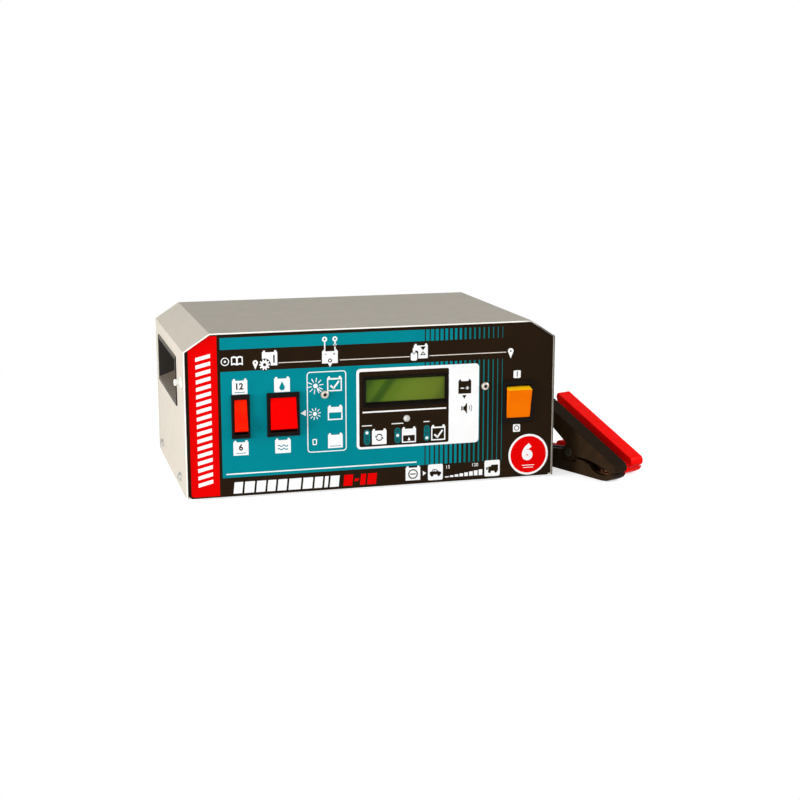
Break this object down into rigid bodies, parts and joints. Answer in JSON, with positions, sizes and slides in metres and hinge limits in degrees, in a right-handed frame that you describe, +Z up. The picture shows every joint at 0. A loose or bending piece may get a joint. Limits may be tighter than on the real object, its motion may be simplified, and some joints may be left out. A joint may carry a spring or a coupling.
{
  "type": "car battery charger",
  "caption": "Bench battery charger in a folded sheet casing with hand grips, rocker switches, a recessed display and a coiled battery lead that ends in sprung clamps.",
  "frame": {"origin": "middle of the charger's base, where the feet stand, leads and clamps left out", "axes": "+X to the right of someone who faces the control panel, +Y to the rear, +Z up"},
  "size_m": [0.3561, 0.3271, 0.122],
  "materials": {
    "casing_paint": "fine textured powder coat",
    "black_plastic": "moulded satin",
    "film": "printed film",
    "plated_steel": "zinc plated",
    "rubber": "matte",
    "nylon": "natural",
    "display_cell": "olive liquid crystal",
    "board": "solder mask",
    "lamp_lens": "diffused lens",
    "red_rocker": "translucent moulded",
    "orange_rocker": "translucent moulded",
    "brass": "dull",
    "core_iron": "varnished laminations",
    "copper_wire": "enamelled wire",
    "aluminium": "extruded",
    "component_plastic": "moulded",
    "cord_black": "satin sheath",
    "cord_red": "satin sheath",
    "clamp_black": "moulded",
    "clamp_red": "moulded",
    "spring_steel": "bright wire"
  },
  "bodies": {
    "casing": {"cover": "casing_paint", "left_grip_cup": "black_plastic", "right_grip_cup": "black_plastic", "fascia_film": "film", "front_panel": "plated_steel", "base_tray": "plated_steel", "rear_panel": "casing_paint", "chassis_rivets": "aluminium", "cover_screws": "plated_steel", "rubber_feet": "rubber", "fascia_screws": "plated_steel", "board_spacers": "nylon", "board_nuts": "plated_steel", "display_frame": "black_plastic", "display_glass": "display_cell", "display_module": "board", "control_board": "board", "control_chips": "component_plastic", "sounder": "component_plastic", "status_lamp": "lamp_lens", "slim_switch_housing": "black_plastic", "wide_switch_housing": "black_plastic", "power_switch_housing": "black_plastic", "switch_terminals": "brass", "cutout_body": "nylon", "transformer_core": "core_iron", "transformer_bobbin": "black_plastic", "transformer_windings": "copper_wire", "transformer_frame": "plated_steel", "transformer_bolts": "plated_steel", "power_board": "board", "board_pillars": "nylon", "capacitor": "component_plastic", "relay": "component_plastic", "heat_sink": "aluminium", "bridge_rectifier": "component_plastic", "mains_gland": "black_plastic", "lead_gland": "black_plastic", "lead_start": "cord_black", "lead_coil": "cord_black", "lead_run": "cord_black", "lead_tie": "black_plastic", "lead_splitter": "cord_black", "black_core": "cord_black", "red_core": "cord_red", "black_lower_arm": "clamp_black", "black_lower_jaw": "brass", "black_spring": "spring_steel", "red_lower_arm": "clamp_red", "red_lower_jaw": "brass", "red_spring": "spring_steel", "clamp_rivets": "plated_steel"},
    "slim_rocker": {"slim_rocker": "red_rocker"},
    "wide_rocker": {"wide_rocker": "red_rocker"},
    "power_rocker": {"power_rocker": "orange_rocker"},
    "reset_button": {"reset_button": "nylon"},
    "black_clamp_arm": {"black_upper_arm": "clamp_black", "black_upper_jaw": "brass"},
    "red_clamp_arm": {"red_upper_arm": "clamp_red", "red_upper_jaw": "brass"}
  },
  "joints": [
    {"name": "slim_switch_tilt", "type": "hinge", "parent": "casing", "child": "slim_rocker", "pos_m": [-0.0981, -0.0845, 0.0608], "axis": [1, 0, 0], "range_deg": [0, 24]},
    {"name": "wide_switch_tilt", "type": "hinge", "parent": "casing", "child": "wide_rocker", "pos_m": [-0.067, -0.0845, 0.0608], "axis": [1, 0, 0], "range_deg": [0, 24]},
    {"name": "power_switch_tilt", "type": "hinge", "parent": "casing", "child": "power_rocker", "pos_m": [0.113, -0.0845, 0.0608], "axis": [1, 0, 0], "range_deg": [-24, 0]},
    {"name": "reset_press", "type": "slide", "parent": "casing", "child": "reset_button", "axis": [1, 0, 0], "range_m": [0, 0.0025], "stiffness_N_per_m": 300, "springref_m": -0.001},
    {"name": "black_clamp_open", "type": "hinge", "parent": "casing", "child": "black_clamp_arm", "pos_m": [0.16636, -0.07293, 0.0155], "axis": [-0.9304, -0.3665, 0], "range_deg": [0, 28], "stiffness_Nm_per_rad": 0.3, "springref_deg": -28.65, "deforming": ["black_spring"]},
    {"name": "red_clamp_open", "type": "hinge", "parent": "casing", "child": "red_clamp_arm", "pos_m": [0.18776, -0.05473, 0.0155], "axis": [-0.9304, -0.3665, 0], "range_deg": [0, 28], "stiffness_Nm_per_rad": 0.3, "springref_deg": -28.65, "deforming": ["red_spring"]}
  ]
}
